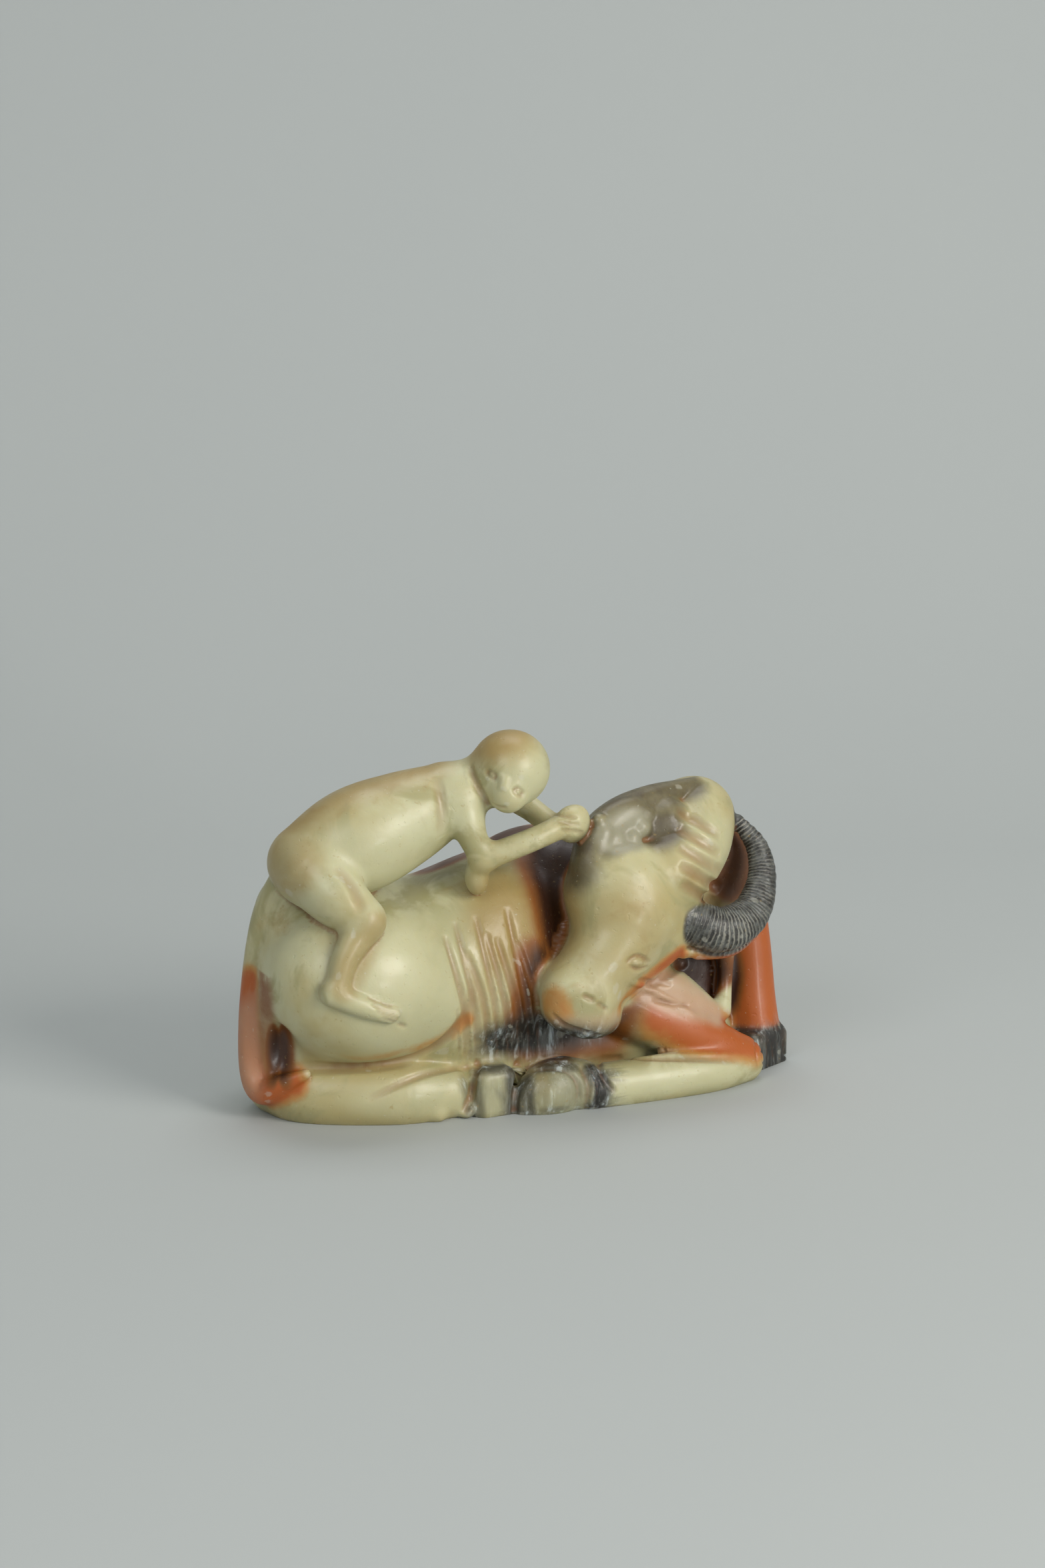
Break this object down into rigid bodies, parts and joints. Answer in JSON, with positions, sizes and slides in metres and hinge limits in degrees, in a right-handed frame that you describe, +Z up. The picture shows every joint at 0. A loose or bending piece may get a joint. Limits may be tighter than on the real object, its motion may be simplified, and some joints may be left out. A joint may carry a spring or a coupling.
{
  "type": "netsuke carving of a monkey leaning over a resting water buffalo",
  "caption": "Small polished soapstone carving: a bare monkey leans over the back of a water buffalo that lies with its head turned to the side. Rests flat.",
  "frame": {"origin": "centre of the bounding box on the flat underside", "axes": "+X along the buffalo from rump to chest, +Z up, and both faces look to -Y"},
  "size_m": [0.0704, 0.0308, 0.0456],
  "materials": {
    "soapstone": "polished waxy stone, honey to pale green with orange, brown and black stains"
  },
  "bodies": {
    "root": {"buffalo_and_monkey": "soapstone"}
  },
  "joints": []
}
